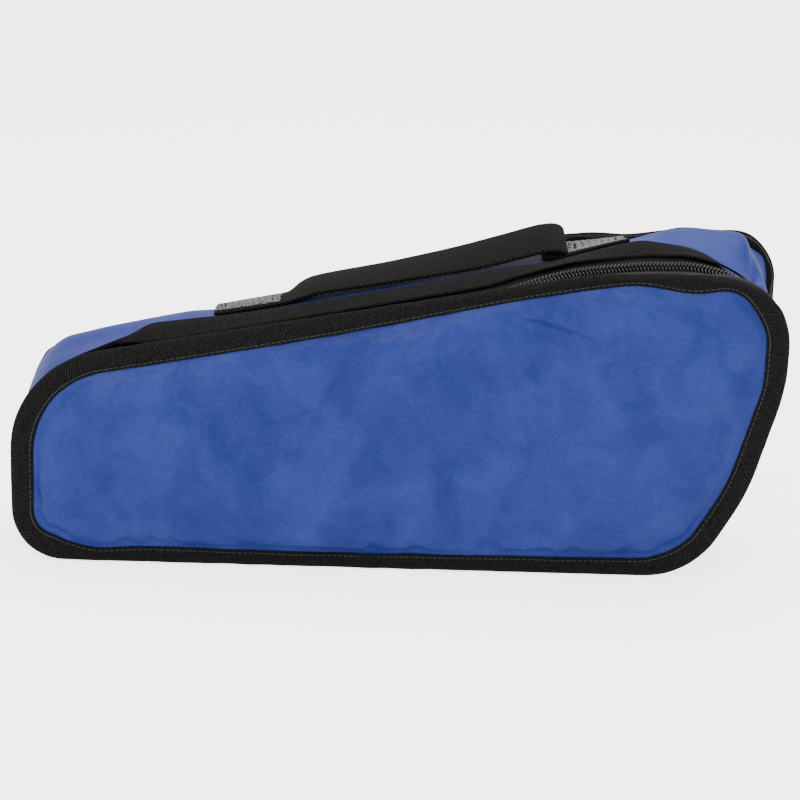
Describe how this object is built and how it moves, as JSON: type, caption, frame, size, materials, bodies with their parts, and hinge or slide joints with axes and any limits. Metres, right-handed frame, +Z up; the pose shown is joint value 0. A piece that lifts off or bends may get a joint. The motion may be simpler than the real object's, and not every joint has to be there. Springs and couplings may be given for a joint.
{
  "type": "telescope carry case",
  "caption": "Wedge-shaped padded fabric case that stands on its base, with bound seams, a zipped top and a sewn webbing carry handle.",
  "frame": {"origin": "middle of the base, on the surface the case stands on", "axes": "+X towards the tall end, -Y towards the front panel that opens, +Z up"},
  "size_m": [0.4113, 0.088, 0.1791],
  "materials": {
    "blue_nylon": "soft satin coated nylon",
    "black_tape": "matte twill",
    "black_webbing": "matte woven webbing",
    "grey_thread": "matte sewing thread",
    "dark_lining": "matte woven lining",
    "foam": "matte closed-cell foam",
    "zipper_tape": "matte woven tape",
    "zipper_coil": "satin nylon monofilament",
    "slider_metal": "black enamel on die-cast zinc"
  },
  "bodies": {
    "case": {"back_panel_shell": "blue_nylon", "back_panel_foam": "foam", "back_panel_lining": "dark_lining", "rear_binding": "black_tape", "gusset_shell": "blue_nylon", "gusset_foam": "foam", "gusset_lining": "dark_lining", "zipper_edge_binding": "black_tape", "zipper_rear_tape": "zipper_tape", "zipper_rear_coil": "zipper_coil", "handle_left_end": "black_webbing", "handle_right_end": "black_webbing", "handle_left_stitching": "grey_thread", "handle_right_stitching": "grey_thread"},
    "front": {"front_panel_shell": "blue_nylon", "front_panel_foam": "foam", "front_panel_lining": "dark_lining", "front_binding": "black_tape", "zipper_front_tape": "zipper_tape", "zipper_front_coil": "zipper_coil"},
    "slider": {"slider_body": "slider_metal", "slider_bail": "slider_metal"},
    "pull": {"slider_pull": "slider_metal"},
    "handle": {"handle_strap": "black_webbing"}
  },
  "joints": [
    {"name": "front_open", "type": "hinge", "parent": "case", "child": "front", "pos_m": [0, -0.042, 0.0003], "axis": [1, 0, 0], "range_deg": [0, 20]},
    {"name": "slider_travel", "type": "slide", "parent": "case", "child": "slider", "axis": [0.9792, 0, 0.2029], "range_m": [0, 0.17]},
    {"name": "pull_swing", "type": "hinge", "parent": "slider", "child": "pull", "pos_m": [-0.14721, -0.0325, 0.11499], "axis": [0, -1, 0], "range_deg": [0, 100]},
    {"name": "handle_lift", "type": "slide", "parent": "case", "child": "handle", "axis": [-0.2029, 0, 0.9792], "range_m": [0, 0.018]}
  ]
}
